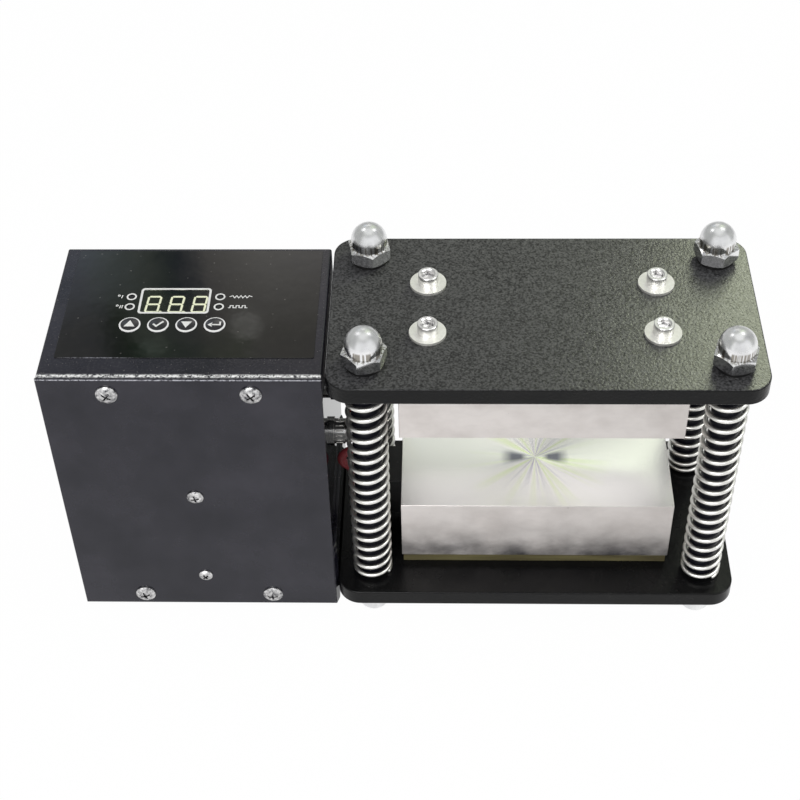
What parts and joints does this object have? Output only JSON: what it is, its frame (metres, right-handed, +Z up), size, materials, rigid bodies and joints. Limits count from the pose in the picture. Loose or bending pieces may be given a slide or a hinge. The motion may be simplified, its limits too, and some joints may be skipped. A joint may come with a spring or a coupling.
{
  "type": "hydraulic heat press plate set",
  "caption": "Spring cage with heated aluminium plates for a hydraulic press, with guide rods, dome nuts and a side-mounted temperature control box.",
  "frame": {"origin": "middle of the whole object's footprint, on the surface that it stands on", "axes": "+X from the control box to the cage, -Y towards the front cover, +Z up"},
  "size_m": [0.3728, 0.1215, 0.216],
  "materials": {
    "cage_powder_coat": "black powder coat, fine texture, satin",
    "rod_black_oxide": "black oxide, semi-gloss",
    "spring_nickel": "bright nickel plate",
    "nut_stainless": "polished stainless steel",
    "washer_black": "black, semi-gloss",
    "zinc_plate": "bright zinc plate",
    "bush_bronze": "sintered bronze, dull",
    "block_aluminium": "milled, unpolished",
    "insulation_brown": "pressed fibre board, matt",
    "heater_steel": "stainless sheath",
    "cover_steel": "folded sheet, black paint",
    "box_paint": "black satin paint",
    "panel_gloss": "glossy black film with white print",
    "window_smoke": "clear window",
    "display_black": "black module with pale unlit segments",
    "board_green": "green solder mask",
    "lamp_clear": "dark clear lens, unlit",
    "button_black": "glossy black with white symbol",
    "plastic_black": "moulded black plastic",
    "connector_chrome": "black chrome plate",
    "sleeve_red": "red silicone sleeving",
    "transformer_iron": "varnished laminations",
    "post_brass": "nickel-free brass"
  },
  "bodies": {
    "cage_base": {"lower_cage_plate": "cage_powder_coat", "guide_rod_front_left": "rod_black_oxide", "guide_rod_front_right": "rod_black_oxide", "guide_rod_rear_left": "rod_black_oxide", "guide_rod_rear_right": "rod_black_oxide", "spring_front_left": "spring_nickel", "spring_front_right": "spring_nickel", "spring_rear_left": "spring_nickel", "spring_rear_right": "spring_nickel", "upper_stop_washers": "washer_black", "lower_stop_washers": "washer_black", "upper_dome_nuts": "nut_stainless", "lower_dome_nuts": "nut_stainless", "lower_insulation_board": "insulation_brown", "lower_heater_block": "block_aluminium", "lower_block_screws": "zinc_plate", "lower_block_washers": "zinc_plate", "lower_heater_cartridges": "heater_steel", "lower_temperature_probe": "heater_steel", "lower_terminal_cover": "cover_steel", "lower_cover_screws": "zinc_plate", "box_shell": "box_paint", "front_cover": "box_paint", "front_cover_screws": "zinc_plate", "side_mounting_plate": "box_paint", "cage_fixing_screws": "zinc_plate", "transformer": "transformer_iron", "solid_state_relay": "plastic_black", "rear_wall_screws": "zinc_plate", "panel_film": "panel_gloss", "display_window": "window_smoke", "display_module": "display_black", "control_board": "board_green", "board_standoffs": "post_brass", "board_screws": "zinc_plate", "tact_switches": "plastic_black", "indicator_lights": "lamp_clear", "mains_inlet": "plastic_black", "fuse_drawer": "plastic_black", "switch_housing": "plastic_black", "connector_sockets": "connector_chrome", "connector_plugs": "connector_chrome", "lower_heater_lead": "sleeve_red", "upper_heater_lead": "sleeve_red"},
    "upper_platen": {"upper_cage_plate": "cage_powder_coat", "guide_bushes": "bush_bronze", "upper_insulation_board": "insulation_brown", "upper_heater_block": "block_aluminium", "upper_block_screws": "zinc_plate", "upper_block_washers": "zinc_plate", "upper_heater_cartridges": "heater_steel", "upper_temperature_probe": "heater_steel", "upper_terminal_cover": "cover_steel", "upper_cover_screws": "zinc_plate"},
    "button_up_cap": {"button_up": "button_black"},
    "button_select_cap": {"button_select": "button_black"},
    "button_down_cap": {"button_down": "button_black"},
    "button_accept_cap": {"button_accept": "button_black"},
    "power_rocker_key": {"power_rocker": "plastic_black"}
  },
  "joints": [
    {"name": "platen_slide", "type": "slide", "parent": "cage_base", "child": "upper_platen", "axis": [0, 0, -1], "range_m": [0, 0.0538], "stiffness_N_per_m": 7500, "springref_m": -0.02, "deforming": ["spring_front_left", "spring_front_right", "spring_rear_left", "spring_rear_right", "upper_heater_lead"]},
    {"name": "button_up_press", "type": "slide", "parent": "cage_base", "child": "button_up_cap", "axis": [0, 0, -1], "range_m": [0, 0.0006], "stiffness_N_per_m": 500, "springref_m": -0.001},
    {"name": "button_select_press", "type": "slide", "parent": "cage_base", "child": "button_select_cap", "axis": [0, 0, -1], "range_m": [0, 0.0006], "stiffness_N_per_m": 500, "springref_m": -0.001},
    {"name": "button_down_press", "type": "slide", "parent": "cage_base", "child": "button_down_cap", "axis": [0, 0, -1], "range_m": [0, 0.0006], "stiffness_N_per_m": 500, "springref_m": -0.001},
    {"name": "button_accept_press", "type": "slide", "parent": "cage_base", "child": "button_accept_cap", "axis": [0, 0, -1], "range_m": [0, 0.0006], "stiffness_N_per_m": 500, "springref_m": -0.001},
    {"name": "power_rocker_tilt", "type": "hinge", "parent": "cage_base", "child": "power_rocker_key", "pos_m": [-0.1044, 0.0515, 0.0555], "axis": [1, 0, 0], "range_deg": [0, 16]}
  ]
}
